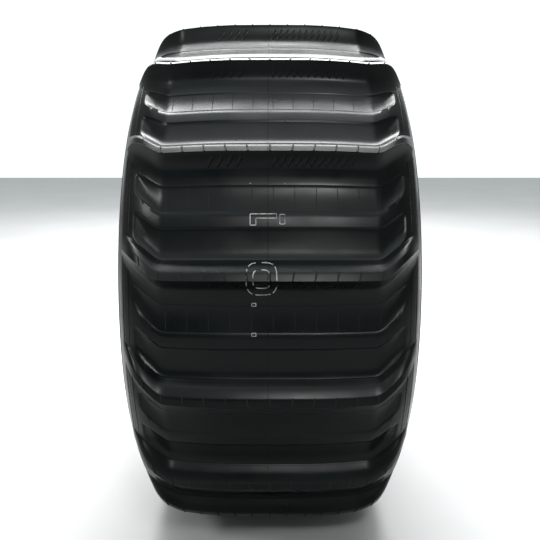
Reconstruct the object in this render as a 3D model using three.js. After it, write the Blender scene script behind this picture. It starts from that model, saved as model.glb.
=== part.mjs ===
// Sand paddle tyre: a bias-ply carcass with a pocketed tread band and sixteen scooped paddles.
// Millimetres and degrees. The tyre spins about Y, +Z is up, the origin is the tyre's centre,
// and two neighbouring paddles straddle the lowest point, so the tyre stands on both.
import * as THREE from 'three';

const tipRadius = 406.4; // 32 in outside diameter
const landRadius = 379.6; // tread surface between two paddles
const beadRadius = 190.5; // 15 in rim
const beadFace = 152.4; // half of a 12 in wide rim, flange to flange
const beadWidth = 10.6;
const seatDepth = 8; // from the land down to the seat that a paddle is bonded to
const pocketDepth = 3;
const plyThickness = 1.8;
const linerThickness = 2;
const chaferThickness = 2.5;
const gap = 0.3; // between faces that touch

const paddleCount = 16;
const pitch = 360 / paddleCount;
const firstPaddle = pitch / 2;
const ringFacets = 32; // flats round every ring
const seatGap = 0.05; // degrees, the same gap seen from the axis
const innerPlyStart = plyThickness + gap; // depths into the carcass from its outer face
const linerStart = innerPlyStart + plyThickness + gap;
const wrap = linerStart + chaferThickness; // what lies between the bead core and the rim

// Angles behind a paddle's front edge, in degrees.
const toeAngle = -4.75;
const scoopFloorAngle = -3.3;
const scoopAngle = -1.6;
const tipBackAngle = 1.38;
const shoulderAngle = 2.78;
const heelAngle = 3.57;
const pocketBMiddle = 6.6;
const pocketBEnd = 9.55;
const pocketAStart = 12.39;
const pocketAMiddle = 15.1;

// Heights on a paddle as parts of its full height above the land.
const heelRise = 0.07;
const shoulderRise = 0.5;
const tipBackRise = 0.88;
const scoopRise = 0.26;
const scoopFloorRise = 0.08;

// Half of the tread, from near the middle outwards: the distance along the axis, and how far
// the land and the tip drop below their middle radius.
const stations = [
  { y: 60, landDrop: 0, tipDrop: 0 },
  { y: 134, landDrop: 5.9, tipDrop: 5.9 },
  { y: 157, landDrop: 12, tipDrop: 15.5 },
  { y: 173, landDrop: 20, tipDrop: 29 },
  { y: 185.5, landDrop: 32, tipDrop: 57 },
];
const pocketStations = 3; // the pockets end past this many
const sweepStart = 134; // a paddle is straight to here, and its ends are swept back
const sweepRate = 0.118; // degrees per millimetre
const bandEnd = { y: 186.3, radius: 346.8 };
const bandEdge = { y: 193, radius: 326.4 };

// Half of the carcass: the outer face of the outer ply, from the crown to its turned-up end.
const heelY = beadFace - wrap;
const toeY = heelY - beadWidth;
const beadBottom = beadRadius + wrap;
const carcass = {
  middle: [60, 367],
  crown: [134, 361.5],
  shoulder: [172, 345],
  widest: [190.5, 300],
  flank: [177, 252],
  neck: [143, 228],
  beadTop: [toeY, 210],
  toe: [toeY, beadBottom],
  heel: [heelY, beadBottom],
  turn: [heelY, 212],
  turnEnd: [158.1, 237.9],
};
const pathIndex = Object.fromEntries(Object.keys(carcass).map((name, i) => [name, i]));

const rubber = (color, roughness) => new THREE.MeshStandardMaterial({ color, roughness, metalness: 0 });
const materials = {
  tread: rubber(0x151819, 0.32),
  sidewall: rubber(0x17191a, 0.45),
  chafer: rubber(0x1d1f20, 0.6),
  liner: rubber(0x202223, 0.7),
  ply: rubber(0x6e6252, 0.85),
  filler: rubber(0x24262a, 0.6),
  wire: new THREE.MeshStandardMaterial({ color: 0x9a7a45, roughness: 0.35, metalness: 1 }),
};

const tyre = new THREE.Group();

function addPart(name, geometry, material) {
  const mesh = new THREE.Mesh(geometry, material);
  mesh.name = name;
  tyre.add(mesh);
  return mesh;
}

// A point at an angle above +X, a radius from the spin axis and a distance along it.
function polar(angle, radius, y) {
  const turn = THREE.MathUtils.degToRad(angle);
  return [radius * Math.cos(turn), y, radius * Math.sin(turn)];
}

function solid(points, faces) {
  const geometry = new THREE.BufferGeometry();
  geometry.setAttribute('position', new THREE.Float32BufferAttribute(points.flat(), 3));
  geometry.setIndex(faces.flat());
  geometry.computeVertexNormals();
  return geometry;
}

// A ring from its cross-section, a list of [distance along the axis, radius] running clockwise.
function ring(outline) {
  const profile = outline.map(([y, radius]) => new THREE.Vector2(radius, y));
  profile.push(profile[0].clone());
  return new THREE.LatheGeometry(profile, ringFacets);
}

const mirrored = (outline) => outline.map(([y, radius]) => [-y, radius]).reverse();

// The same path moved sideways, to the right of its direction, with mitred corners.
function offsetPath(path, distance) {
  const normals = path.slice(1).map(([y, radius], i) => {
    const run = [y - path[i][0], radius - path[i][1]];
    const length = Math.hypot(...run);
    return [run[1] / length, -run[0] / length];
  });
  return path.map(([y, radius], i) => {
    const before = normals[Math.max(i - 1, 0)];
    const after = normals[Math.min(i, normals.length - 1)];
    const scale = distance / (1 + before[0] * after[0] + before[1] * after[1]);
    return [y + (before[0] + after[0]) * scale, radius + (before[1] + after[1]) * scale];
  });
}

// A layer of even thickness that lies along a path, between two distances to its right.
function layer(path, near, far) {
  return [...offsetPath(path, near), ...offsetPath(path, far).reverse()];
}

const halfPath = Object.values(carcass);
const fullPath = [...mirrored(halfPath), ...halfPath];
addPart('body_ply_outer', ring(layer(fullPath, 0, plyThickness)), materials.ply);
addPart('body_ply_inner', ring(layer(fullPath, innerPlyStart, innerPlyStart + plyThickness)), materials.ply);

const linerEnd = [toeY, 203.4];
const linerHalf = [...halfPath.slice(0, pathIndex.toe), linerEnd];
const linerPath = [...mirrored(linerHalf), ...linerHalf];
addPart('inner_liner', ring(layer(linerPath, linerStart, linerStart + linerThickness)), materials.liner);

// The beads and sidewalls are drawn for the right-hand half and mirrored for the left.

const chaferPath = [[toeY, 202.8], carcass.toe, carcass.heel, [heelY, 208]];
const chafer = layer(chaferPath, linerStart, linerStart + chaferThickness);

const coreLeft = toeY + gap;
const coreRight = heelY - gap;
const coreBottom = beadBottom + gap;
const coreTop = 209.2;
const beadCore = [[coreLeft, coreBottom], [coreLeft, coreTop], [coreRight, coreTop], [coreRight, coreBottom]];
const fillerBottom = coreTop + 0.4;
const beadFiller = [
  [toeY + 0.4, fillerBottom],
  [143.3, 227.7],
  [156.7, 237.2],
  [heelY - 0.4, 212],
  [heelY - 0.4, fillerBottom],
];

// A sidewall's cross-section: up the plies, over their turned-up ends, then down the outer face.
const plyOutside = offsetPath(halfPath, -gap);
const turnOutside = offsetPath(halfPath, linerStart);
const downFlank = (part) => [0, 1].map((i) => (
  THREE.MathUtils.lerp(plyOutside[pathIndex.shoulder][i], plyOutside[pathIndex.widest][i], part)
));
const [turnEndY, turnEndRadius] = carcass.turnEnd;
const sidewallFoot = 208.4;
const turnCover = [
  [turnEndY + 4.1, turnEndRadius - 1.2],
  [turnEndY + 0.3, turnEndRadius + 0.7],
];
const sidewall = [
  [heelY + linerStart, sidewallFoot],
  turnOutside[pathIndex.turn],
  ...turnCover,
  plyOutside[pathIndex.flank],
  plyOutside[pathIndex.widest],
  downFlank(0.6),
  [193.6, 324.8],
  [197, 308],
  [197, 289],
  [194, 268],
  [186, 247],
  [172, 229],
  [158, 214.5],
  [beadFace, sidewallFoot],
];

const sides = { left: mirrored, right: (outline) => outline };
for (const [side, place] of Object.entries(sides)) {
  addPart(`bead_core_${side}`, ring(place(beadCore)), materials.wire);
  addPart(`bead_filler_${side}`, ring(place(beadFiller)), materials.filler);
  addPart(`chafer_${side}`, ring(place(chafer)), materials.chafer);
  addPart(`sidewall_${side}`, ring(place(sidewall)), materials.sidewall);
}

const bothSides = (half) => [...half.map((station) => ({ ...station, y: -station.y })).reverse(), ...half];
const sweep = (y) => Math.max(0, Math.min(Math.abs(y), bandEnd.y) - sweepStart) * sweepRate;
const land = (station) => landRadius - station.landDrop;
const seat = (station) => land(station) - seatDepth;

// One pitch of the band: each line's angle, and its depth below the land at a station.
const atLand = () => 0;
const atSeat = (station) => (station.seat ? seatDepth + gap : 0);
const inPocket = (station) => (station.pocket ? pocketDepth : 0);
const bandLines = [
  { angle: toeAngle - 2 * seatGap, depth: atLand },
  { angle: toeAngle - seatGap, depth: atSeat },
  { angle: heelAngle + seatGap, depth: atSeat },
  { angle: heelAngle + 2 * seatGap, depth: inPocket },
  { angle: pocketBMiddle, depth: inPocket },
  { angle: pocketBEnd, depth: atLand },
  { angle: pocketAStart, depth: atLand },
  { angle: pocketAMiddle, depth: inPocket },
];

// The outer face as rows across the tread, the inner face as rows on the rings' flats, and a
// strip of triangles that joins each pair of edges.
function treadBand() {
  const across = bothSides([
    ...stations.map((station, i) => ({ ...station, pocket: i < pocketStations, seat: true })),
    { y: bandEnd.y, landDrop: landRadius - bandEnd.radius },
    { y: bandEdge.y, landDrop: landRadius - bandEdge.radius },
  ]);
  const points = [];
  const faces = [];
  const outer = [];
  for (let paddle = 0; paddle < paddleCount; paddle += 1) {
    for (const line of bandLines) {
      outer.push(across.map((station) => {
        const angle = firstPaddle + paddle * pitch + line.angle + sweep(station.y);
        points.push(polar(angle, land(station) - line.depth(station), station.y));
        return { index: points.length - 1, angle };
      }));
    }
  }
  const innerHalf = [...plyOutside.slice(0, pathIndex.widest), downFlank(0.58)];
  const innerLine = [...mirrored(innerHalf), ...innerHalf];
  const inner = [];
  for (let facet = 0; facet < ringFacets; facet += 1) {
    const angle = (facet * 360) / ringFacets;
    inner.push(innerLine.map(([y, radius]) => {
      points.push(polar(angle, radius, y));
      return { index: points.length - 1, angle };
    }));
  }
  const quad = (a, b, c, d) => faces.push([a, b, c], [a, c, d]);
  const surface = (rows, outwards) => rows.forEach((row, i) => {
    const next = rows[(i + 1) % rows.length];
    for (let j = 0; j + 1 < row.length; j += 1) {
      const corners = [row[j], row[j + 1], next[j + 1], next[j]].map((corner) => corner.index);
      quad(...(outwards ? corners : corners.reverse()));
    }
  });
  surface(outer, true);
  surface(inner, false);
  // Walk round both edges at once, always stepping along the one that is behind.
  const join = (edgeA, edgeB, flip) => {
    let a = 0;
    let b = 0;
    const at = (edge, i) => edge[i % edge.length].angle + (i >= edge.length ? 360 : 0);
    while (a < edgeA.length || b < edgeB.length) {
      const stepA = b >= edgeB.length || (a < edgeA.length && at(edgeA, a + 1) <= at(edgeB, b + 1));
      const near = edgeA[a % edgeA.length].index;
      const far = edgeB[b % edgeB.length].index;
      if (stepA) a += 1;
      else b += 1;
      const third = stepA ? edgeA[a % edgeA.length].index : edgeB[b % edgeB.length].index;
      faces.push(flip ? [near, third, far] : [near, far, third]);
    }
  };
  const edge = (rows, last) => rows.map((row) => row[last ? row.length - 1 : 0]);
  join(edge(outer, false), edge(inner, false), true);
  join(edge(outer, true), edge(inner, true), false);
  return solid(points, faces);
}
addPart('tread_band', treadBand(), materials.tread);

const landDegree = THREE.MathUtils.degToRad(landRadius); // one degree's length along the land

// A paddle's section at a station: along its sole, up its back and down its scooped front.
function paddleSection(station) {
  const base = land(station);
  const height = tipRadius - station.tipDrop - base;
  return [
    { angle: toeAngle, radius: seat(station) },
    { angle: heelAngle, radius: seat(station) },
    { angle: heelAngle, radius: base + heelRise * height },
    { angle: shoulderAngle, radius: base + shoulderRise * height },
    { angle: tipBackAngle, radius: base + tipBackRise * height },
    { angle: 0, radius: base + height },
    { angle: scoopAngle, radius: base + scoopRise * height },
    { angle: scoopFloorAngle, radius: base + scoopFloorRise * height },
    { angle: toeAngle, radius: base },
  ];
}

// A paddle ends a little inside its seat's end walls.
const inside = (y) => y - gap * Math.sign(y) * (Math.abs(y) === stations.at(-1).y);

function paddle() {
  const rows = bothSides(stations).map((station) => (
    paddleSection(station).map(({ angle, radius }) => polar(angle + sweep(station.y), radius, inside(station.y)))
  ));
  const size = rows[0].length;
  const faces = [];
  rows.slice(1).forEach((row, i) => {
    for (let j = 0; j < size; j += 1) {
      const next = (j + 1) % size;
      const [a, b, c, d] = [i * size + j, i * size + next, (i + 1) * size + next, (i + 1) * size + j];
      faces.push([a, b, c], [a, c, d]);
    }
  });
  const cap = THREE.ShapeUtils.triangulateShape(
    paddleSection(stations.at(-1)).map(({ angle, radius }) => new THREE.Vector2(-angle * landDegree, radius)), [],
  );
  const last = (rows.length - 1) * size;
  cap.forEach(([a, b, c]) => faces.push([a, b, c], [last + a, last + c, last + b]));
  return solid(rows.flat(), faces);
}

const paddleGeometry = paddle();
for (let i = 0; i < paddleCount; i += 1) {
  const name = `paddle_${String(i + 1).padStart(2, '0')}`;
  const mesh = addPart(name, paddleGeometry, materials.tread);
  mesh.rotation.y = -THREE.MathUtils.degToRad(firstPaddle + i * pitch);
}

export default tyre;
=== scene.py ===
import math
from functools import partial

import bmesh
import bpy
import numpy as np
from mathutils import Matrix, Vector


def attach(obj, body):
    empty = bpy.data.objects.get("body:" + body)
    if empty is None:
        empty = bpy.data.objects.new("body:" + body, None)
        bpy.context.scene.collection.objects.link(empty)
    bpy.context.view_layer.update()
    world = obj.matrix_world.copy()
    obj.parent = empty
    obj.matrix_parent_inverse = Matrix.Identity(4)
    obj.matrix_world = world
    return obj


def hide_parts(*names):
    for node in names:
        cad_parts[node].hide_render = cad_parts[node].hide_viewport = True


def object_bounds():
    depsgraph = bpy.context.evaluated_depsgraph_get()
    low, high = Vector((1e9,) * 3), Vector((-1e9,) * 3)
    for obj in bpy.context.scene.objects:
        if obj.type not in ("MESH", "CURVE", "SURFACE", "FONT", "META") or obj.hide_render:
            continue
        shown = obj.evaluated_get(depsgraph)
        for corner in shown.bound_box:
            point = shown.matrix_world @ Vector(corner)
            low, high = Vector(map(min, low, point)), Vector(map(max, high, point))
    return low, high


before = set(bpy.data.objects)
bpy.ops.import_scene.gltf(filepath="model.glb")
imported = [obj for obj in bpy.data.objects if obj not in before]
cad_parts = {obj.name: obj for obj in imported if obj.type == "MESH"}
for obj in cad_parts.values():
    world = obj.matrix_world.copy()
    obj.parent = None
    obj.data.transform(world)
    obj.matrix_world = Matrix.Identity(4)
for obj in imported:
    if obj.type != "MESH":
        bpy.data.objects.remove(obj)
cadBox = [list(corner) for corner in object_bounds()]
mm = 0.001
weldDistance = 2e-6

# the whole tyre, spinning about Y; angles in degrees above +X, sizes in millimetres
tyre = {
    "paddles": 16,
    "firstAngle": 11.25,  # front edge of the first paddle's tip
    "tipRadius": cadBox[1][2] / mm / math.cos(math.radians(11.25)),
    "landRadius": 379.6,  # tread surface between the paddles
    "paddleEnd": 186.2,
}
pitchAngle = 360 / tyre["paddles"]
landDegree = math.radians(tyre["landRadius"])  # one degree's length along the land


# a line through points with rounded bends, as a function that takes arrays
def softPolyline(points, softness):
    xs, ys = np.array(points, float).T
    soft = np.broadcast_to(softness, xs.shape)
    slopes = np.diff(ys) / np.diff(xs)
    def value(x):
        x = np.asarray(x, float)
        total = ys[0] + slopes[0] * (x - xs[0])
        for i in range(1, len(slopes)):
            reach = (x - xs[i]) / soft[i]
            total = total + (slopes[i] - slopes[i - 1]) * soft[i] * np.logaddexp(0, reach)
        return total
    return value


def smoothStep(x, low, high):
    t = np.clip((np.asarray(x, float) - low) / (high - low), 0, 1)
    return t * t * (3 - 2 * t)


# a path of [y, radius] with each inner corner rounded, sizes along its arms
def roundPath(path, sizes, steps=6):
    points = [np.array(path[0], float)]
    for before, corner, after, size in zip(path, path[1:], path[2:], sizes):
        before, corner, after = (np.array(point, float) for point in (before, corner, after))
        reach = min(size, *(0.49 * np.linalg.norm(point - corner) for point in (before, after)))
        start = corner + (before - corner) / np.linalg.norm(before - corner) * reach
        end = corner + (after - corner) / np.linalg.norm(after - corner) * reach
        for t in np.linspace(0, 1, steps + 1):
            points.append((1 - t) ** 2 * start + 2 * t * (1 - t) * corner + t * t * end)
    points.append(np.array(path[-1], float))
    return np.array(points)


# the same path moved to the right of its direction
def offsetPath(path, distance):
    path = np.asarray(path, float)
    runs = np.diff(path, axis=0)
    runs = runs / np.linalg.norm(runs, axis=1)[:, None]
    sides = np.column_stack([runs[:, 1], -runs[:, 0]])
    before = np.vstack([sides[:1], sides])
    after = np.vstack([sides, sides[-1:]])
    return path + (before + after) * (distance / (1 + (before * after).sum(axis=1)))[:, None]


def mirrored(path):
    return (np.asarray(path, float) * [-1, 1])[::-1]


def polar(angle, radius, y):
    turn = np.radians(angle)
    return np.stack(np.broadcast_arrays(radius * np.cos(turn), y, radius * np.sin(turn)), -1) * mm


# half of the tread from the middle out: distance, land's drop and tip's drop
treadShape = {
    "landDrop": [(0, 0), (60, 0.3), (100, 2.6), (134, 5.9), (157, 12), (173, 20), (186.3, 32.8),
                 (193, 53.2), (196, 62)],
    "landSoft": [3, 6, 6, 1.1, 3, 3, 2, 2, 2],
    "tipDrop": [(0, 0), (60, 0.3), (100, 2.6), (134, 6.6), (150, 12.4), (162, 18.4), (172, 28.6),
                (179, 42.5), (186, 58)],
    "tipSoft": 3.0,
    "sweepStart": 135,
    "sweepEnd": 193,
    "sweepRate": 0.122,  # degrees a millimetre
    "sweepSoft": 3.2,
}
landDrop = softPolyline(treadShape["landDrop"], treadShape["landSoft"])
tipDrop = softPolyline(treadShape["tipDrop"], treadShape["tipSoft"])
sweepTurn = (treadShape["sweepEnd"] - treadShape["sweepStart"]) * treadShape["sweepRate"]
sweepLine = softPolyline([(0, 0), (treadShape["sweepStart"], 0), (treadShape["sweepEnd"], sweepTurn)],
                         treadShape["sweepSoft"])

# a paddle's section: angle behind its front edge, and part of its height
blade = {
    "toe": -4.75,
    "heel": 3.57,
    "seam": 0.2,  # the paddle meets the band this far past its toe
    "front": [(-1.2, -0.02), (-1, 0.0), (-0.67, 0.07), (-0.45, 0.16), (-0.337, 0.25), (-0.18, 0.52),
              (-0.075, 0.78), (0, 1.0), (0.05, 0.99)],
    "back": [(-0.1, 1.009), (0, 1.0), (1.38, 0.885), (2.78, 0.515), (3.57, 0.076), (4.2, 0.0)],
    "backSoft": [0.05, 0.05, 0.09, 0.17, 0.1, 0.2],
    "seatDepth": 8,
    "leastHeight": 0.9,
    "fadeStart": 176,  # a paddle's hollows die out from here to its end
    "curlStart": 168,  # and its toe curls up to the tip
    "curlRise": 4.15,
    "curlPower": 2.2,
    "curlFill": 0.985,
}
# the hollow just above a paddle's toe; its stretches are parts of the front, from toe to tip
scoop = {
    "depth": 0.9,
    "middlePart": 0.45,  # its depth on the straight part
    "deepening": (150, 172),
    "foot": 0.3,
    "fade": (0.34, 0.62),
    "rimFade": 0.5,
}
frontRise = softPolyline(blade["front"], 0.022)
backRise = softPolyline(blade["back"], blade["backSoft"])

# the two pockets between paddles: first and last angle, and where they end sideways
pockets = {
    "low": [(3.62, 9.55), (12.39, 17.72)],
    "bowl": [1.5, 1.7],  # dish below the rim's own step
    "step": 1.1,
    "stepWidth": 1.9,
    "endDepth": 2.2,  # deeper towards the ends
    "deepening": (128, 156),
    "reach": 168,
    "lowCorner": 15,
    "highCorner": 7,
    "rim": 0.35,
    "heelRise": 0.076,  # part of a paddle's height, left where its heel meets the land
    "heelRun": 1.5,
    "fall": 1.2,  # the land sinks towards the next toe
    "fallRange": (12.6, 17.6),
    "fallInset": 8,
}


# a scoop's lower rim runs level, then curls up to the tip at the paddle's ends
def toeAt(y):
    curl = np.clip((np.abs(y) - blade["curlStart"]) / (tyre["paddleEnd"] - blade["curlStart"]), 0, 1)
    turned = curl ** blade["curlPower"] * blade["curlFill"]
    return blade["toe"] + (1 - np.sqrt(1 - turned)) * blade["curlRise"]


def endFade(y):
    return 1 - smoothStep(np.abs(y), blade["fadeStart"], tyre["paddleEnd"])


def landHeight(y):
    return tyre["landRadius"] - landDrop(np.abs(y))


def bladeHeight(y):
    height = tyre["tipRadius"] - tipDrop(np.abs(y)) - landHeight(y)
    return np.maximum(height, blade["leastHeight"])


def pocketDepth(angle, y, index):
    low, high = pockets["low"][index]
    halfSpan = (high - low) / 2 * landDegree
    along = (angle - (low + high) / 2) * landDegree
    corner = np.where(along < 0, pockets["lowCorner"], pockets["highCorner"])
    gapAlong = np.abs(along) - halfSpan + corner
    gapAcross = np.abs(y) - pockets["reach"] + corner
    outside = np.hypot(np.maximum(gapAlong, 0), np.maximum(gapAcross, 0))
    edge = outside + np.minimum(np.maximum(gapAlong, gapAcross), 0) - corner
    inside = pockets["rim"] * np.logaddexp(0, -edge / pockets["rim"])
    bowl = 1 - (1 - np.minimum(inside / halfSpan, 1)) ** 2
    step = 1 - (1 - np.minimum(inside / pockets["stepWidth"], 1)) ** 2
    deep = pockets["endDepth"] * smoothStep(np.abs(y), *pockets["deepening"])
    return pockets["step"] * step + (pockets["bowl"][index] + deep) * bowl


# radius of the tread between paddles; the angle is measured behind the lower paddle
def bandSurface(angle, y):
    heelEnd = blade["heel"] + pockets["heelRun"]
    rise = pockets["heelRise"] * bladeHeight(y) * (1 - smoothStep(angle, blade["heel"], heelEnd))
    inset = endFade(np.abs(y) + pockets["fallInset"])
    fall = pockets["fall"] * smoothStep(angle, *pockets["fallRange"]) * inset
    return landHeight(y) + rise - fall - pocketDepth(angle, y, 0) - pocketDepth(angle, y, 1)


# radius of a paddle's scooped front; part runs from -1 at its rim to 0 at the tip
def frontSurface(part, y):
    lip = bandSurface(pitchAngle + blade["toe"] + 0 * y, y)
    foot = np.clip(1 + part, 0, 1)
    dish = np.clip(foot / scoop["foot"], 0, 1) ** 0.6 * (1 - smoothStep(foot, *scoop["fade"]))
    rim = (lip - landHeight(y)) * (1 - smoothStep(foot, 0.0, scoop["rimFade"]))
    middle = scoop["middlePart"]
    depth = scoop["depth"] * (middle + (1 - middle) * smoothStep(np.abs(y), *scoop["deepening"]))
    return landHeight(y) + rim - depth * dish * endFade(y) + bladeHeight(y) * frontRise(part)


def backSurface(angle, y):
    return landHeight(y) + bladeHeight(y) * backRise(angle)


# a point on the whole tread, the angle measured behind the nearest paddle's front edge
def treadPoint(angle, y, lift=0.0):
    toe = toeAt(y)
    before, front = bandSurface(angle + pitchAngle, y), frontSurface(-angle / toe, y)
    back, behind = backSurface(angle, y), bandSurface(angle, y)
    radius = np.select([angle < toe, angle < 0, angle < blade["heel"]], [before, front, back], behind)
    return polar(tyre["firstAngle"] + angle + sweepLine(np.abs(y)), radius + lift, y)


def newPiece(name, vertices, faces):
    mesh = bpy.data.meshes.new(name)
    mesh.from_pydata([tuple(vertex) for vertex in np.asarray(vertices).reshape(-1, 3)], [], faces)
    mesh.update()
    piece = bpy.data.objects.new(name, mesh)
    bpy.context.scene.collection.objects.link(piece)
    return piece


# welds doubles, points the faces out, shades smooth and keeps the sharp edges
def tidyMesh(piece, sharpAngle):
    work = bmesh.new()
    work.from_mesh(piece.data)
    bmesh.ops.remove_doubles(work, verts=work.verts, dist=weldDistance)
    bmesh.ops.dissolve_degenerate(work, edges=work.edges, dist=1e-7)
    bmesh.ops.recalc_face_normals(work, faces=work.faces)
    for face in work.faces:
        face.smooth = True
    limit = math.radians(sharpAngle)
    for edge in work.edges:
        edge.smooth = len(edge.link_faces) == 2 and edge.calc_face_angle(0) < limit
    work.to_mesh(piece.data)
    work.free()


def gridFaces(rows, columns, closeRows=False, closeColumns=False, start=0):
    faces = []
    for i in range(rows if closeRows else rows - 1):
        for j in range(columns if closeColumns else columns - 1):
            a, b = i, (i + 1) % rows
            c, d = j, (j + 1) % columns
            corners = ((a, c), (a, d), (b, d), (b, c))
            faces.append(tuple(start + row * columns + column for row, column in corners))
    return faces


# turns what the modifiers make into the piece's own mesh and drops them
def plainMesh(piece):
    shown = piece.evaluated_get(bpy.context.evaluated_depsgraph_get())
    mesh = bpy.data.meshes.new_from_object(shown)
    piece.modifiers.clear()
    piece.data = mesh
    mesh.name = piece.name


# sets a Geometry Nodes modifier's inputs, found by name, by their identifiers
def setInputs(modifier, **values):
    for item in modifier.node_group.interface.items_tree:
        if item.item_type == "SOCKET" and item.in_out == "INPUT" and item.name in values:
            modifier[item.identifier] = values[item.name]


def addSockets(tree, sockets):
    for name, kind, value in sockets:
        socket = tree.interface.new_socket(name, in_out="INPUT", socket_type=kind)
        if value is not None:
            socket.default_value = value
    tree.interface.new_socket("Geometry", in_out="OUTPUT", socket_type="NodeSocketGeometry")


def linkNodes(tree, *pairs):
    for output, target in pairs:
        tree.links.new(output, target)


# a Math node on sockets or plain numbers
def mathsNode(tree, operation, first, second=0.0):
    node = tree.nodes.new("ShaderNodeMath")
    node.operation = operation
    for socket, source in zip(node.inputs, (first, second)):
        if isinstance(source, (int, float)):
            socket.default_value = source
        else:
            tree.links.new(source, socket)
    return node.outputs[0]


# repeats a piece at even steps round the axle
def repeatTree():
    tree = bpy.data.node_groups.new("repeatRoundAxle", "GeometryNodeTree")
    addSockets(tree, [("Geometry", "NodeSocketGeometry", None), ("Count", "NodeSocketInt", 16),
                      ("Step", "NodeSocketFloat", 0.3927), ("Weld", "NodeSocketFloat", 0.00001),
                      ("Finish", "NodeSocketMaterial", None)])
    add = tree.nodes.new
    given, result = add("NodeGroupInput"), add("NodeGroupOutput")
    spots = add("GeometryNodeMeshLine")
    index, way = add("GeometryNodeInputIndex"), add("ShaderNodeCombineXYZ")
    place, real = add("GeometryNodeInstanceOnPoints"), add("GeometryNodeRealizeInstances")
    weld, finish = add("GeometryNodeMergeByDistance"), add("GeometryNodeSetMaterial")
    turn = mathsNode(tree, "MULTIPLY", index.outputs[0], given.outputs["Step"])
    spots.inputs["Offset"].default_value = (0, 0, 0)
    linkNodes(tree,
              (given.outputs["Count"], spots.inputs["Count"]),
              (turn, way.inputs["Y"]),
              (spots.outputs["Mesh"], place.inputs["Points"]),
              (given.outputs["Geometry"], place.inputs["Instance"]),
              (way.outputs[0], place.inputs["Rotation"]),
              (place.outputs["Instances"], real.inputs["Geometry"]),
              (real.outputs["Geometry"], weld.inputs["Geometry"]),
              (given.outputs["Weld"], weld.inputs["Distance"]),
              (weld.outputs["Geometry"], finish.inputs["Geometry"]),
              (given.outputs["Finish"], finish.inputs["Material"]),
              (finish.outputs["Geometry"], result.inputs["Geometry"]))
    return tree


# stacks round hoops side by side and row over row, such as bead wires or moulded ribs
def hoopTree():
    tree = bpy.data.node_groups.new("hoopStack", "GeometryNodeTree")
    addSockets(tree, [("Geometry", "NodeSocketGeometry", None), ("Across", "NodeSocketInt", 3),
                      ("Rows", "NodeSocketInt", 1), ("Start", "NodeSocketFloat", 0.0),
                      ("Spacing", "NodeSocketFloat", 0.005), ("Radius", "NodeSocketFloat", 0.3),
                      ("Climb", "NodeSocketFloat", 0.0), ("Thickness", "NodeSocketFloat", 0.001),
                      ("Segments", "NodeSocketInt", 160), ("Sides", "NodeSocketInt", 8),
                      ("Slope", "NodeSocketFloat", 0.0), ("Finish", "NodeSocketMaterial", None)])
    add = tree.nodes.new
    maths = partial(mathsNode, tree)
    given, result = add("NodeGroupInput"), add("NodeGroupOutput")
    count = maths("MULTIPLY", given.outputs["Across"], given.outputs["Rows"])
    spots, index = add("GeometryNodeMeshLine"), add("GeometryNodeInputIndex")
    spots.inputs["Offset"].default_value = (0, 0, 0)
    column = maths("MODULO", index.outputs[0], given.outputs["Across"])
    row = maths("FLOOR", maths("DIVIDE", maths("ADD", index.outputs[0], 0.5), given.outputs["Across"]))
    aside = maths("ADD", given.outputs["Start"], maths("MULTIPLY", column, given.outputs["Spacing"]))
    climbed = maths("ADD", given.outputs["Radius"], maths("MULTIPLY", row, given.outputs["Climb"]))
    reach = maths("ADD", climbed, maths("MULTIPLY", column, given.outputs["Slope"]))
    moved, offset = add("GeometryNodeSetPosition"), add("ShaderNodeCombineXYZ")
    circle, place = add("GeometryNodeCurvePrimitiveCircle"), add("GeometryNodeInstanceOnPoints")
    circle.inputs["Radius"].default_value = 1
    place.inputs["Rotation"].default_value = (math.pi / 2, 0, 0)
    real, wire = add("GeometryNodeRealizeInstances"), add("GeometryNodeCurveToMesh")
    section, finish = add("GeometryNodeCurvePrimitiveCircle"), add("GeometryNodeSetMaterial")
    scale = add("ShaderNodeCombineXYZ")
    linkNodes(tree,
              (count, spots.inputs["Count"]), (spots.outputs["Mesh"], moved.inputs["Geometry"]),
              (aside, offset.inputs["Y"]), (offset.outputs[0], moved.inputs["Offset"]),
              (moved.outputs["Geometry"], place.inputs["Points"]),
              (given.outputs["Segments"], circle.inputs["Resolution"]),
              (circle.outputs["Curve"], place.inputs["Instance"]),
              (reach, scale.inputs["X"]), (reach, scale.inputs["Y"]), (reach, scale.inputs["Z"]),
              (scale.outputs[0], place.inputs["Scale"]),
              (place.outputs["Instances"], real.inputs["Geometry"]),
              (real.outputs["Geometry"], wire.inputs["Curve"]),
              (given.outputs["Sides"], section.inputs["Resolution"]),
              (given.outputs["Thickness"], section.inputs["Radius"]),
              (section.outputs["Curve"], wire.inputs["Profile Curve"]),
              (wire.outputs["Mesh"], finish.inputs["Geometry"]),
              (given.outputs["Finish"], finish.inputs["Material"]),
              (finish.outputs["Geometry"], result.inputs["Geometry"]))
    return tree


repeatRoundAxle = repeatTree()
hoopStack = hoopTree()


def repeatPiece(piece, finish):
    modifier = piece.modifiers.new("repeat", "NODES")
    modifier.node_group = repeatRoundAxle
    setInputs(modifier, Count=tyre["paddles"], Step=-math.radians(pitchAngle), Weld=weldDistance,
              Finish=finish)
    plainMesh(piece)


# the last steps for every piece: a clean mesh, its body and what it stands for
def settle(piece, nodes=(), sharpAngle=34):
    tidyMesh(piece, sharpAngle)
    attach(piece, "root")
    if nodes:
        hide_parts(*nodes)


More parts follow.
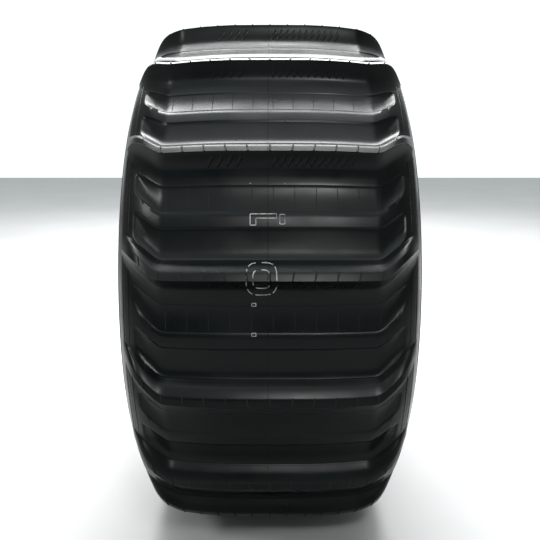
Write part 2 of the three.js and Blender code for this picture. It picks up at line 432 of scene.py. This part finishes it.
# a procedural material with short ways to add nodes
class Finish:

    def __init__(self, name, color, roughness, metallic=0.0, specular=0.5):
        self.material = bpy.data.materials.new(name)
        self.material.use_nodes = True
        self.tree = self.material.node_tree
        self.shader = self.tree.nodes["Principled BSDF"]
        self.shader.inputs["Base Color"].default_value = (*color, 1)
        self.shader.inputs["Roughness"].default_value = roughness
        self.shader.inputs["Metallic"].default_value = metallic
        self.shader.inputs["Specular IOR Level"].default_value = specular
        self.place = self.tree.nodes.new("ShaderNodeTexCoord").outputs["Object"]

    def link(self, output, target):
        self.tree.links.new(output, target)
        return output

    def stretched(self, scale):
        node = self.tree.nodes.new("ShaderNodeMapping")
        node.inputs["Scale"].default_value = scale
        self.link(self.place, node.inputs["Vector"])
        return node.outputs["Vector"]

    def noise(self, scale, detail=4, rough=0.55, stretch=None):
        node = self.tree.nodes.new("ShaderNodeTexNoise")
        node.inputs["Scale"].default_value = scale
        node.inputs["Detail"].default_value = detail
        node.inputs["Roughness"].default_value = rough
        self.link(self.stretched(stretch) if stretch else self.place, node.inputs["Vector"])
        return node.outputs["Fac"]

    def ramp(self, value, stops):
        node = self.tree.nodes.new("ShaderNodeValToRGB")
        self.link(value, node.inputs["Fac"])
        while len(node.color_ramp.elements) < len(stops):
            node.color_ramp.elements.new(0.5)
        for element, (position, color) in zip(node.color_ramp.elements, stops):
            element.position = position
            element.color = (*color, 1) if isinstance(color, tuple) else (color, color, color, 1)
        return node.outputs["Color"]

    def between(self, value, low, high, start=0.3, end=0.7):
        node = self.tree.nodes.new("ShaderNodeMapRange")
        node.inputs["From Min"].default_value = start
        node.inputs["From Max"].default_value = end
        node.inputs["To Min"].default_value = low
        node.inputs["To Max"].default_value = high
        self.link(value, node.inputs["Value"])
        return node.outputs["Result"]

    def mix(self, factor, first, second):
        node = self.tree.nodes.new("ShaderNodeMix")
        node.data_type = "RGBA"
        self.link(factor, node.inputs["Factor"])
        for socket, source in ((node.inputs["A"], first), (node.inputs["B"], second)):
            if isinstance(source, tuple):
                socket.default_value = (*source, 1)
            else:
                self.link(source, socket)
        return node.outputs["Result"]

    def maths(self, operation, first, second=0.0):
        return mathsNode(self.tree, operation, first, second)

    def split(self, vector):
        node = self.tree.nodes.new("ShaderNodeSeparateXYZ")
        self.link(vector, node.inputs[0])
        return node.outputs

    def axleRadius(self):
        x, _, z = self.split(self.place)
        squares = [self.maths("MULTIPLY", side, side) for side in (x, z)]
        return self.maths("SQRT", self.maths("ADD", *squares))

    # stacks bumps given as (height, strength, distance)
    def bump(self, heights):
        last = None
        for height, strength, distance in heights:
            node = self.tree.nodes.new("ShaderNodeBump")
            node.inputs["Strength"].default_value = strength
            node.inputs["Distance"].default_value = distance
            self.link(height, node.inputs["Height"])
            if last:
                self.link(last, node.inputs["Normal"])
            last = node.outputs["Normal"]
        self.link(last, self.shader.inputs["Normal"])

    def use(self, color=None, roughness=None):
        if color is not None:
            self.link(color, self.shader.inputs["Base Color"])
        if roughness is not None:
            self.link(roughness, self.shader.inputs["Roughness"])
        return self.material


def treadRubber():
    # glossy moulded rubber: cloudy gloss, faint flow marks, a brown bloom on the shoulders
    finish = Finish("treadRubber", (0.003, 0.005, 0.005), 0.3, specular=0.16)
    cloud = finish.noise(9, 3)
    fine = finish.noise(230, 5, 0.6)
    flow = finish.noise(26, 4, 0.6, stretch=(1, 0.16, 1))
    bloom = finish.noise(5.5, 4, 0.65)
    tone = finish.ramp(cloud, [(0.32, (0.0010, 0.0021, 0.0020)), (0.68, (0.0018, 0.0032, 0.0032))])
    aside = finish.maths("ABSOLUTE", finish.split(finish.place)[1])
    shoulder = finish.between(aside, 0.0, 0.5, start=0.15, end=0.195)
    dusty = finish.maths("MULTIPLY", shoulder, finish.ramp(bloom, [(0.42, 0.0), (0.68, 1.0)]))
    color = finish.mix(dusty, tone, (0.015, 0.011, 0.006))
    streaks = finish.maths("MULTIPLY", finish.maths("SUBTRACT", flow, 0.5), 0.16)
    gloss = finish.maths("ADD", finish.between(cloud, 0.24, 0.42), streaks)
    finish.bump([(flow, 0.10, 0.0012), (cloud, 0.12, 0.003), (fine, 0.10, 0.00025)])
    return finish.use(color, gloss)


def edgeRubber():
    # ribs and moulded marks: the same rubber, scuffed paler on top
    finish = Finish("markRubber", (0.006, 0.007, 0.007), 0.6, specular=0.15)
    scuff = finish.noise(120, 5, 0.65)
    color = finish.ramp(scuff, [(0.35, (0.003, 0.004, 0.004)), (0.7, (0.010, 0.011, 0.011))])
    finish.bump([(scuff, 0.2, 0.0003)])
    return finish.use(color, finish.between(scuff, 0.5, 0.7))


def stampRubber():
    # stamped index marks, chalky with release powder
    finish = Finish("stampRubber", (0.3, 0.31, 0.3), 0.7, specular=0.3)
    patchy = finish.noise(90, 6, 0.7)
    color = finish.ramp(patchy, [(0.34, (0.05, 0.052, 0.052)), (0.58, (0.34, 0.35, 0.345))])
    finish.bump([(patchy, 0.25, 0.0003)])
    return finish.use(color, finish.between(patchy, 0.55, 0.8))


def sidewallRubber():
    # satin rubber with fine rings left by the mould
    finish = Finish("sidewallRubber", (0.005, 0.006, 0.006), 0.4, specular=0.3)
    radius = finish.axleRadius()
    rings = finish.maths("SINE", finish.maths("MULTIPLY", radius, 5200))
    cloud = finish.noise(12, 4)
    fine = finish.noise(260, 5, 0.6)
    color = finish.ramp(cloud, [(0.3, (0.0036, 0.0046, 0.0047)), (0.7, (0.0075, 0.0080, 0.0080))])
    finish.bump([(rings, 0.05, 0.0002), (cloud, 0.1, 0.002), (fine, 0.14, 0.0003)])
    return finish.use(color, finish.between(cloud, 0.36, 0.52))


def chaferRubber():
    # rubber over square woven cloth
    finish = Finish("chaferRubber", (0.017, 0.018, 0.019), 0.6)
    x, y, z = finish.split(finish.place)
    angle = finish.maths("ARCTAN2", z, x)
    warp = finish.maths("SINE", finish.maths("MULTIPLY", angle, 900))
    across = finish.maths("ADD", y, finish.axleRadius())
    weft = finish.maths("SINE", finish.maths("MULTIPLY", across, 4200))
    weave = finish.maths("MULTIPLY", warp, weft)
    wear = finish.noise(60, 5, 0.65)
    color = finish.ramp(wear, [(0.3, (0.011, 0.012, 0.0125)), (0.7, (0.026, 0.027, 0.028))])
    finish.bump([(weave, 0.35, 0.0003), (wear, 0.2, 0.0005)])
    return finish.use(color, finish.between(wear, 0.5, 0.7))


def linerRubber():
    # bladder-moulded inner skin: dull, with long soft creases and faint diagonal cords showing through
    finish = Finish("linerRubber", (0.022, 0.023, 0.024), 0.62)
    x, y, z = finish.split(finish.place)
    angle = finish.maths("ARCTAN2", z, x)
    cords = finish.maths("SINE", finish.maths("ADD", finish.maths("MULTIPLY", angle, 700),
                                              finish.maths("MULTIPLY", y, 1900)))
    crease = finish.noise(14, 4, 0.6, stretch=(1, 2.6, 1))
    powder = finish.noise(45, 6, 0.7)
    color = finish.ramp(powder, [(0.32, (0.015, 0.016, 0.017)), (0.72, (0.040, 0.041, 0.041))])
    finish.bump([(cords, 0.16, 0.0003), (crease, 0.35, 0.002), (powder, 0.15, 0.0005)])
    return finish.use(color, finish.between(powder, 0.52, 0.75))


def cordPly():
    # nylon cords in skim rubber, laid on the bias
    finish = Finish("cordPly", (0.09, 0.075, 0.055), 0.8)
    x, y, z = finish.split(finish.place)
    angle = finish.maths("ARCTAN2", z, x)
    cords = finish.maths("SINE", finish.maths("ADD", finish.maths("MULTIPLY", angle, 1500),
                                              finish.maths("MULTIPLY", y, 3600)))
    dirt = finish.noise(50, 5)
    lay = finish.ramp(cords, [(0.2, (0.030, 0.026, 0.022)), (0.8, (0.16, 0.135, 0.10))])
    color = finish.mix(finish.between(dirt, 0.0, 0.5), lay, (0.025, 0.023, 0.021))
    finish.bump([(cords, 0.5, 0.0004), (dirt, 0.2, 0.0004)])
    return finish.use(color, finish.between(dirt, 0.7, 0.9))


def fillerRubber():
    finish = Finish("fillerRubber", (0.02, 0.021, 0.024), 0.55)
    grain = finish.noise(140, 5, 0.6)
    color = finish.ramp(grain, [(0.3, (0.014, 0.015, 0.018)), (0.7, (0.028, 0.029, 0.033))])
    finish.bump([(grain, 0.3, 0.0004)])
    return finish.use(color, finish.between(grain, 0.5, 0.65))


def beadWire():
    # bronze-coated steel wire, drawn lines along it
    finish = Finish("beadWire", (0.42, 0.27, 0.12), 0.32, metallic=1.0)
    tarnish = finish.noise(35, 5, 0.6)
    drawn = finish.noise(900, 3, 0.5, stretch=(1, 0.2, 1))
    color = finish.ramp(tarnish, [(0.3, (0.25, 0.15, 0.065)), (0.7, (0.52, 0.35, 0.17))])
    finish.bump([(drawn, 0.12, 0.0001)])
    return finish.use(color, finish.between(tarnish, 0.26, 0.46))


finishes = {
    "tread": treadRubber(), "mark": edgeRubber(), "stamp": stampRubber(), "sidewall": sidewallRubber(),
    "chafer": chaferRubber(), "liner": linerRubber(), "ply": cordPly(), "filler": fillerRubber(),
    "wire": beadWire(),
}
print("finishes ready:", len(finishes))


# columns across half the tread: wide steps on the straight part, fine ones at the ends
def acrossTread(end):
    stops = [(0, 128, 9), (128, 142, 9), (142, 152, 4), (152, 172, 14), (172, end, 10)]
    half = np.concatenate([np.linspace(a, b, n + 1)[:-1] for a, b, n in stops] + [[end]])
    return np.concatenate([-half[:0:-1], half])


# values bunched round an edge
def aroundEdge(at, spread, count):
    steps = np.linspace(-1, 1, count)
    return at + spread * steps * np.abs(steps)


def makePaddles():
    y = acrossTread(tyre["paddleEnd"])
    frontParts = np.concatenate([[-1.0, -0.985, -0.965, -0.93], np.linspace(-0.88, -0.10, 13),
                                 [-0.075, -0.05, -0.03, -0.016, -0.007]])
    backAngles = np.concatenate([aroundEdge(0.06, 0.13, 5), [0.45, 0.85], aroundEdge(1.38, 0.28, 6),
                                 [2.0], aroundEdge(2.8, 0.45, 7), aroundEdge(3.46, 0.11, 4)])
    toe = toeAt(y)
    rows = []
    for step in (1.0, 0.5):  # outside the scoop's rim, down to the seam with the band
        angle = toe - blade["seam"] * step
        rows.append((angle, bandSurface(angle + pitchAngle, y)))
    rows += [(-toe * part, frontSurface(part, y)) for part in frontParts]
    rows += [(0 * y + angle, backSurface(angle, y)) for angle in backAngles]
    heelTop = bandSurface(blade["heel"] + 0 * y, y)
    rows.append((0 * y + blade["heel"], heelTop))
    seat = landHeight(y) - blade["seatDepth"]
    rows.append((0 * y + blade["heel"], seat))
    rows.append(((toe + blade["heel"]) / 2, seat))
    rows.append((toe - blade["seam"], seat))
    spin = tyre["firstAngle"] + sweepLine(np.abs(y))
    points = np.array([polar(angle + spin, radius, y) for angle, radius in rows])
    faces = gridFaces(len(rows), len(y), closeRows=True)
    faces.append(tuple(i * len(y) for i in range(len(rows))))
    faces.append(tuple(i * len(y) + len(y) - 1 for i in range(len(rows)))[::-1])
    piece = newPiece("paddles", points, faces)
    repeatPiece(piece, finishes["tread"])
    settle(piece, [f"paddle_{i + 1:02d}" for i in range(tyre["paddles"])], sharpAngle=48)
    return piece


band = {
    "inner": [(0, 367.3), (60, 367.3), (134, 361.8), (172, 345.4), (188, 305)],
    "rounding": (60, 60, 40),
    "innerEnd": 321,
    "skirt": [186.4, 188, 189.6, 191.2, 192.4, 193],  # the edge below the paddles' ends
    "seamGap": 0.02,
}


# the band's inner face, out from the middle, a hair outside the plies
def bandInnerPath():
    path = roundPath(band["inner"], band["rounding"], 4)
    return path[path[:, 1] > band["innerEnd"]]


def makeTreadBand():
    y = acrossTread(tyre["paddleEnd"])
    toe = toeAt(y)
    top = np.concatenate([[0, 0.12, 0.3, 0.6, 1.0], np.linspace(1.6, 5.1, 7), [5.5, 5.75],
                          aroundEdge(5.98, 0.14, 4), [6.9, 7.7], aroundEdge(8.82, 0.14, 4),
                          [9.05, 9.4], np.linspace(9.9, 12.6, 6), [13.1, 13.4, 13.63, 13.78]])
    span = pitchAngle + blade["toe"] - blade["seam"] - blade["heel"]
    rows = []
    for part in top / top[-1]:
        angle = blade["heel"] + part * (span + (toe - blade["toe"]))
        rows.append((angle, bandSurface(angle, y)))
    nextHeel = pitchAngle + blade["heel"]
    seat = landHeight(y) - blade["seatDepth"]
    rows.append((rows[-1][0], seat))
    rows.append((nextHeel + 0 * y, seat))
    # outside the paddles' ends, the two rows under a paddle are spread along its length
    outAngles = [angle[-1] for angle, _ in rows]
    outAngles[-2:] = [(outAngles[-2] + nextHeel) / 2, nextHeel - band["seamGap"]]
    edge = np.array(band["skirt"])
    inner = bandInnerPath()
    flip = np.array([1, -1, 1])
    loops = []
    for (angle, radius), outAngle in zip(rows, outAngles):
        skirt = polar(tyre["firstAngle"] + outAngle + sweepLine(edge), landHeight(edge), edge)
        tuck = polar(tyre["firstAngle"] + outAngle + sweepLine(inner[:, 0]), inner[:, 1], inner[:, 0])
        face = polar(tyre["firstAngle"] + angle + sweepLine(np.abs(y)), radius, y)
        loops.append(np.vstack([face, skirt, tuck[::-1], (tuck * flip)[1:], (skirt * flip)[::-1]]))
    # the last row is the next pitch's first row
    turn = math.radians(pitchAngle)
    x, aside, z = loops[0].T
    ahead = [x * math.cos(turn) - z * math.sin(turn), aside, x * math.sin(turn) + z * math.cos(turn)]
    loops.append(np.column_stack(ahead))
    loops = np.array(loops)
    piece = newPiece("treadBand", loops, gridFaces(loops.shape[0], loops.shape[1], closeColumns=True))
    repeatPiece(piece, finishes["tread"])
    settle(piece, ["tread_band"], sharpAngle=48)
    return piece


paddles = makePaddles()
treadBand = makeTreadBand()
print("tread ready:", len(paddles.data.polygons), "+", len(treadBand.data.polygons), "faces")


ribs = {
    "spacing": 26.3,
    "count": 7,  # each side of the middle one
    "closerFrom": 6,
    "closer": 0.985,  # part of the spacing left from there on
    "width": 2.1,
    "height": 1.2,
    "lean": 1.4,  # millimetres outwards for each degree down the back
    "reach": 178,
    "angles": [0.02, 0.4, 0.8, 1.15, 1.35, 1.5],
}
vents = {"count": 5, "shift": 4, "from": 12.9, "to": 17.3, "width": 0.9, "height": 0.2}
partingLine = {
    "y": -2.5,
    "width": 0.9,
    "height": 0.35,
    "angles": [*np.linspace(-4.7, -0.1, 18), 0.15, 0.7, 1.2, 1.38, 1.6, 2.1, 2.6, 2.9, 3.2, 3.5,
               *np.linspace(3.75, 17.55, 40)],
}


# points and faces of a low rounded rib along a path of (angle, y) on the tread
def strip(path, width, height, bury=0.8):
    path = np.array(path, float)
    scaled = path * [landDegree, 1]
    runs = np.gradient(scaled, axis=0)
    runs = runs / np.linalg.norm(runs, axis=1)[:, None]
    side = np.column_stack([-runs[:, 1], runs[:, 0]]) / [landDegree, 1]
    section = [(-0.5, -bury), (-0.5, 0.35 * height), (-0.3, 0.85 * height), (0.3, 0.85 * height),
               (0.5, 0.35 * height), (0.5, -bury)]
    loops = []
    for aside, lift in section:
        spot = path + side * aside * width
        loops.append(treadPoint(spot[:, 0], spot[:, 1], lift))
    points = np.stack(loops, axis=1)
    count, size = points.shape[:2]
    faces = gridFaces(count, size, closeColumns=True)
    faces.append(tuple(range(size)))
    faces.append(tuple((count - 1) * size + i for i in range(size))[::-1])
    return points.reshape(-1, 3), faces


def joinStrips(name, strips):
    points, faces, start = [], [], 0
    for spots, corners in strips:
        points.append(spots)
        faces += [tuple(start + i for i in face) for face in corners]
        start += len(spots)
    return newPiece(name, np.vstack(points), faces)


def makeTipRibs():
    # narrow ribs over each tip, a little closer together at the ends
    strips = []
    for i in range(-ribs["count"], ribs["count"] + 1):
        y = i * ribs["spacing"] * (1 if abs(i) < ribs["closerFrom"] else ribs["closer"])
        if abs(y) > ribs["reach"]:
            continue
        lean = ribs["lean"] * np.sign(y)
        path = [(angle, y + lean * angle) for angle in ribs["angles"]]
        strips.append(strip(path, ribs["width"], ribs["height"]))
    piece = joinStrips("tipRibs", strips)
    repeatPiece(piece, finishes["mark"])
    settle(piece, sharpAngle=60)


def makeVentRibs():
    # faint ribs across the upper pocket
    strips = []
    for i in range(-vents["count"], vents["count"] + 1):
        y = i * ribs["spacing"] + vents["shift"]
        path = [(angle, y) for angle in np.linspace(vents["from"], vents["to"], 12)]
        strips.append(strip(path, vents["width"], vents["height"]))
    piece = joinStrips("ventRibs", strips)
    repeatPiece(piece, finishes["mark"])
    settle(piece, sharpAngle=60)


def makePartingLine():
    # the mould's parting line runs over everything at the middle
    path = [(angle, partingLine["y"]) for angle in partingLine["angles"]]
    piece = joinStrips("partingLine", [strip(path, partingLine["width"], partingLine["height"])])
    repeatPiece(piece, finishes["tread"])
    settle(piece, sharpAngle=60)


slantBars = {
    "groups": [(-73, -38, 4), (6, 100, 11)],  # first and last place, and how many
    "lean": 7,
    "width": 3.6,
    "height": 1.0,
    "from": -0.55,  # degrees in front of the tip's edge
    "to": -1.55,
}


def makeSlantBars():
    strips = []
    for first, last, count in slantBars["groups"]:
        for y in np.linspace(first, last, count):
            angles = np.linspace(slantBars["from"], slantBars["to"], 7)
            lean = np.linspace(0.5, -0.5, 7) * slantBars["lean"]
            strips.append(strip(list(zip(angles, y + lean)), slantBars["width"], slantBars["height"]))
    piece = joinStrips("slantBars", strips)
    repeatPiece(piece, finishes["tread"])
    settle(piece, sharpAngle=60)


# even steps along straight lines between corners
def outline(corners, steps=7):
    path = [np.array(corners[0], float)]
    for a, b in zip(corners, corners[1:]):
        for t in np.linspace(0, 1, steps + 1)[1:]:
            path.append((1 - t) * np.array(a, float) + t * np.array(b, float))
    return path


# lines of (angle, y); angles past half a pitch lie below the next paddle's toe
marks = {
    "outlines": [
        [(20.3, -25), (18.1, -25), (19.0, -3), (18.1, 19), (19.6, 2), (20.3, -25)],
        [(12.1, -24), (10.0, -24), (10.0, -17), (11.3, -17), (11.3, 8), (12.1, 8), (12.1, -24)],
        [(10.2, 12), (12.0, 12), (12.0, 18), (10.2, 18), (10.2, 12)],
    ],
    # loops' sizes and dashes, and how much of each dash's stretch is drawn
    "ring": {"angle": 0.2, "halfAngle": 2.9, "y": -10, "halfWidth": 18, "loops": [(1.0, 7), (0.56, 3)],
             "drawn": 0.76, "squareness": 0.6},
    "squares": [-4.3, -9.9],
    "squareHeight": 0.55,
    "squareSides": (-22, -17),
    "width": 1.1,
    "height": 0.25,
    "bury": 1.2,
}


# outlined index marks along the middle: a chevron, a stepped bar and a rounded ring
def makeStamps():
    lines = [outline(corners) for corners in marks["outlines"]]
    ring = marks["ring"]
    for size, dashes in ring["loops"]:
        for start in np.arange(dashes) / dashes:
            path = []
            for turn in 2 * math.pi * (start + np.linspace(0, ring["drawn"] / dashes, 12)):
                up, aside = (np.sign(part) * abs(part) ** ring["squareness"]
                             for part in (math.cos(turn), math.sin(turn)))
                path.append((ring["angle"] + ring["halfAngle"] * size * up,
                             ring["y"] + ring["halfWidth"] * size * aside))
            lines.append(path)
    low, high = marks["squareSides"]
    for top in marks["squares"]:
        bottom = top - marks["squareHeight"]
        lines.append(outline([(top, low), (top, high), (bottom, high), (bottom, low), (top, low)], 3))
    strips = [strip(line, marks["width"], marks["height"], marks["bury"]) for line in lines]
    piece = joinStrips("indexMarks", strips)
    piece.data.materials.append(finishes["stamp"])
    settle(piece, sharpAngle=60)


def hoops(name, finish, slot, nodes=(), **sizes):
    piece = newPiece(name, np.zeros((1, 3)), [])
    modifier = piece.modifiers.new("hoops", "NODES")
    modifier.node_group = hoopStack
    setInputs(modifier, Finish=finish, **sizes)
    plainMesh(piece)
    settle(piece, nodes, sharpAngle=60)


shoulderRibs = {"count": 3, "start": 175.5, "gap": 4.0, "thickness": 0.55, "sink": 0.05}


def makeShoulderRibs():
    start, gap = shoulderRibs["start"], shoulderRibs["gap"]
    climb = float(landHeight(start + 2 * gap) - landHeight(start)) / 2
    radius = float(landHeight(start)) - shoulderRibs["sink"]
    for side, sign in (("Left", -1), ("Right", 1)):
        hoops(f"shoulderRibs{side}", finishes["tread"], "tread_rubber", Across=shoulderRibs["count"],
              Start=sign * start * mm, Spacing=sign * gap * mm, Radius=radius * mm, Slope=climb * mm,
              Thickness=shoulderRibs["thickness"] * mm, Segments=256)


makeTipRibs()
makeVentRibs()
makePartingLine()
makeSlantBars()
makeStamps()
makeShoulderRibs()
print("ribs and marks ready")


carcass = {
    "path": [(0, 367), (60, 367), (134, 361.5), (172, 345), (190.5, 300), (177, 252), (143, 228),
             (135.1, 210), (135.1, 197.2), (145.7, 197.2), (145.7, 212), (158.1, 237.9)],
    "rounding": [40, 40, 26, 40, 40, 14, 8, 2.2, 2.2, 10],
    "ply": 1.8,
    "gap": 0.3,
    "liner": 2,
    "chafer": 2.5,
    "linerEnd": (135.1, 203.4),
    "segments": 224,
    "plySegments": 160,
}
innerPlyStart = carcass["ply"] + carcass["gap"]
linerStart = innerPlyStart + carcass["ply"] + carcass["gap"]
halfPath = roundPath(carcass["path"], carcass["rounding"], 7)


# a ring from its closed cross-section of [y, radius]
def ringPiece(name, outlineOf, finish, nodes, sharpAngle=34, segments=None):
    segments = segments or carcass["segments"]
    line = np.asarray(outlineOf, float)
    angles = np.arange(segments) * 360 / segments
    points = polar(angles[:, None], line[None, :, 1], line[None, :, 0])
    piece = newPiece(name, points, gridFaces(segments, len(line), closeRows=True, closeColumns=True))
    piece.data.materials.append(finish)
    settle(piece, nodes, sharpAngle)
    return piece


def layer(path, near, far):
    return np.vstack([offsetPath(path, near), offsetPath(path, far)[::-1]])


def bothHalves(half):
    return np.vstack([mirrored(half)[:-1], half])


def makeCarcass():
    whole = bothHalves(halfPath)
    for name, node, start in (("bodyPlyOuter", "body_ply_outer", 0),
                              ("bodyPlyInner", "body_ply_inner", innerPlyStart)):
        ringPiece(name, layer(whole, start, start + carcass["ply"]), finishes["ply"], [node],
                  segments=carcass["plySegments"])
    lined = roundPath(carcass["path"][:8] + [carcass["linerEnd"]], carcass["rounding"][:7], 7)
    skin = layer(bothHalves(lined), linerStart, linerStart + carcass["liner"])
    ringPiece("innerLiner", skin, finishes["liner"], ["inner_liner"])


makeCarcass()


bead = {
    "wires": 5,
    "rows": 6,
    "wire": 1.9,
    "core": (135.4, 145.4, 197.5, 209.2),  # left, right, bottom and top
    "filler": [(135.5, 209.6), (143.3, 227.7), (156.7, 237.2), (145.3, 212), (145.3, 209.6)],
    "wrap": [(135.1, 202.8), (135.1, 197.2), (145.7, 197.2), (145.7, 208)],  # under the chafer
}
sidewall = {
    "outer": [(188.9, 327.6), (193.4, 325.6), (195.6, 317), (197, 306), (197, 290), (194.2, 269),
              (186, 247.2), (172.5, 229.6), (158, 214.5), (152.4, 208.4)],
    "rounding": [3, 8, 22, 22, 22, 22, 18, 5],
    "foot": [(149.95, 208.4), (149.95, 211.6), (162.3, 237.2), (158.6, 238.8)],
    "flank": (246, 324),  # radii between which it lies on the plies
    "flankStart": 160,
}
rimRibs = {"count": 3, "start": 159.6, "gap": 3.4, "radius": 216.3, "climb": 3.62, "thickness": 0.8}
sideRings = {"at": [(195.4, 317), (196.2, 282), (189.4, 256)], "thickness": 0.9}  # distance and radius


# cross-sections of the right-hand side's rings
def sideOutlines():
    plyOutside = offsetPath(halfPath, -carcass["gap"])
    away, radius = plyOutside.T
    low, high = sidewall["flank"]
    flank = plyOutside[(radius < high) & (radius > low) & (away > sidewall["flankStart"])]
    outer = roundPath(sidewall["outer"], sidewall["rounding"], 8)
    wall = np.vstack([outer, sidewall["foot"], flank[::-1]])
    wrapped = roundPath(bead["wrap"], (2.2, 2.2), 7)
    filler = bead["filler"]
    return {"wall": wall, "chafer": layer(wrapped, linerStart, linerStart + carcass["chafer"]),
            "filler": roundPath(filler + filler[:2], (1, 1.5, 1, 1, 1), 3)[1:-1]}


def makeSides():
    outlines = sideOutlines()
    for side, sign in (("left", -1), ("right", 1)):
        name = side.capitalize()
        flip = np.array([sign, 1])
        ringPiece(f"sidewall{name}", outlines["wall"] * flip, finishes["sidewall"],
                  [f"sidewall_{side}"])
        ringPiece(f"chafer{name}", outlines["chafer"] * flip, finishes["chafer"],
                  [f"chafer_{side}"], segments=192)
        ringPiece(f"beadFiller{name}", outlines["filler"] * flip, finishes["filler"],
                  [f"bead_filler_{side}"], segments=128)
        left, right, bottom, top = bead["core"]
        across = (right - left - bead["wire"]) / (bead["wires"] - 1)
        climb = (top - bottom - bead["wire"]) / (bead["rows"] - 1)
        halfWire = bead["wire"] / 2
        hoops(f"beadCore{name}", finishes["wire"], "bead_wire", [f"bead_core_{side}"],
              Across=bead["wires"], Rows=bead["rows"], Start=sign * (left + halfWire) * mm,
              Spacing=sign * across * mm, Radius=(bottom + halfWire) * mm, Climb=climb * mm,
              Thickness=halfWire * mm, Segments=128)
        hoops(f"rimRibs{name}", finishes["sidewall"], "sidewall_rubber", Across=rimRibs["count"],
              Start=sign * rimRibs["start"] * mm, Spacing=sign * rimRibs["gap"] * mm,
              Radius=rimRibs["radius"] * mm, Slope=rimRibs["climb"] * mm,
              Thickness=rimRibs["thickness"] * mm, Segments=224)
        for at, radius in sideRings["at"]:
            hoops(f"sideRing{name}{radius}", finishes["sidewall"], "sidewall_rubber", Across=1,
                  Start=sign * at * mm, Radius=radius * mm, Thickness=sideRings["thickness"] * mm,
                  Segments=256)


makeSides()
print("carcass, beads and sidewalls ready")


studio = {
    "elevation": 13.05,
    "distance": 1.1985,
    "lens": 45.5,
    "floor": -0.3996,
    "floorReach": 6,
    # name, place, aim, size and power
    "lamps": [
        ("overTop", (-0.64, 0.0, 1.7), (-0.64, 0, 0), (0.9, 1.3), 74),
        ("backTop", (-1.9, 0.0, 2.6), (0, 0, 0.25), (1.9, 2.3), 130),
        ("backLow", (-3.0, 0.0, 1.55), (0, 0, 0.35), (2.2, 1.3), 70),
        ("frontTop", (1.95, 0.3, 1.4), (0.35, 0, 0.15), (0.32, 0.2), 20),
        ("frontLeft", (1.2, -1.5, 1.4), (0.33, -0.15, 0.17), (0.4, 0.4), 20),
    ],
    # angle over the tyre from the front horizon, and the sky's level there
    "sky": [(0, 0.01), (6, 0.08), (14, 0.08), (28, 0.17), (42, 0.30), (60, 0.32), (74, 0.66), (90, 0.9),
            (106, 1.0), (135, 0.6), (160, 0.42), (174, 0.36)],
    "skyLevel": 3.2,
    "skyTint": (0.93, 1, 1.01),
    "sideLevel": 0.3,
    "sideFade": (0.2, 0.6),  # how far to the side the sky turns dim
    "backFade": (0.8, 0.92),  # and how far back it stays white
}


def makeStudio():
    scene = bpy.context.scene
    level, reach = studio["floor"], studio["floorReach"]
    corners = [(x * reach, y * reach, level) for x, y in ((-1, -1), (1, -1), (1, 1), (-1, 1))]
    floor = newPiece("floor", corners, [(0, 1, 2, 3)])
    paint = Finish("paleFloor", (0.37, 0.37, 0.37), 0.8, specular=0.1)
    grain = paint.noise(3, 3)
    floor.data.materials.append(paint.use(paint.ramp(grain, [(0.3, 0.36), (0.7, 0.38)])))

    camera = bpy.data.objects.new("camera", bpy.data.cameras.new("camera"))
    scene.collection.objects.link(camera)
    rise = math.radians(studio["elevation"])
    camera.location = Vector((math.cos(rise), 0, math.sin(rise))) * studio["distance"]
    camera.rotation_mode = "QUATERNION"
    camera.rotation_quaternion = (-camera.location).to_track_quat("-Z", "Y")
    camera.data.lens = studio["lens"]
    camera.data.sensor_width = 36
    camera.data.clip_start = 0.05
    scene.camera = camera
    scene.view_settings.view_transform = "Standard"

    def softbox(name, place, aim, size, power):
        lamp = bpy.data.lights.new(name, "AREA")
        lamp.shape = "RECTANGLE"
        lamp.size, lamp.size_y = size
        lamp.energy = power
        holder = bpy.data.objects.new(name, lamp)
        scene.collection.objects.link(holder)
        holder.location = place
        holder.rotation_mode = "QUATERNION"
        holder.rotation_quaternion = (Vector(aim) - Vector(place)).to_track_quat("-Z", "Y")

    for lamp in studio["lamps"]:
        softbox(*lamp)

    # the sky, by the angle round from the front horizon: dark ahead, brighter overhead, white behind
    world = bpy.data.worlds.new("studio")
    scene.world = world
    world.use_nodes = True
    tree = world.node_tree
    maths = partial(mathsNode, tree)
    parts = tree.nodes.new("ShaderNodeSeparateXYZ")
    tree.links.new(tree.nodes.new("ShaderNodeTexCoord").outputs["Generated"], parts.inputs[0])
    x, y, z = parts.outputs
    around = maths("DIVIDE", maths("MAXIMUM", maths("ARCTAN2", maths("ABSOLUTE", z), x), 0), math.pi)
    ramp = tree.nodes.new("ShaderNodeValToRGB")
    tree.links.new(around, ramp.inputs["Fac"])
    while len(ramp.color_ramp.elements) < len(studio["sky"]):
        ramp.color_ramp.elements.new(0.5)
    for element, (angle, level) in zip(ramp.color_ramp.elements, studio["sky"]):
        element.position = angle / 180
        element.color = (*[level * tint for tint in studio["skyTint"]], 1)

    def fade(value, low, high):
        node = tree.nodes.new("ShaderNodeMapRange")
        node.interpolation_type = "SMOOTHSTEP"
        node.inputs["From Min"].default_value = low
        node.inputs["From Max"].default_value = high
        tree.links.new(value, node.inputs["Value"])
        return node.outputs["Result"]

    # even and dim to both sides, and white right across behind the tyre
    behind = fade(maths("MULTIPLY", x, -1), *studio["backFade"])
    aside = maths("SUBTRACT", fade(maths("ABSOLUTE", y), *studio["sideFade"]), behind)
    sky = tree.nodes["Background"]
    over = tree.nodes.new("ShaderNodeMix")
    over.data_type = "RGBA"
    over.inputs["B"].default_value = (*[studio["sideLevel"] / studio["skyLevel"]] * 3, 1)
    tree.links.new(aside, over.inputs["Factor"])
    tree.links.new(ramp.outputs["Color"], over.inputs["A"])
    tree.links.new(over.outputs["Result"], sky.inputs["Color"])
    sky.inputs["Strength"].default_value = studio["skyLevel"]


makeStudio()
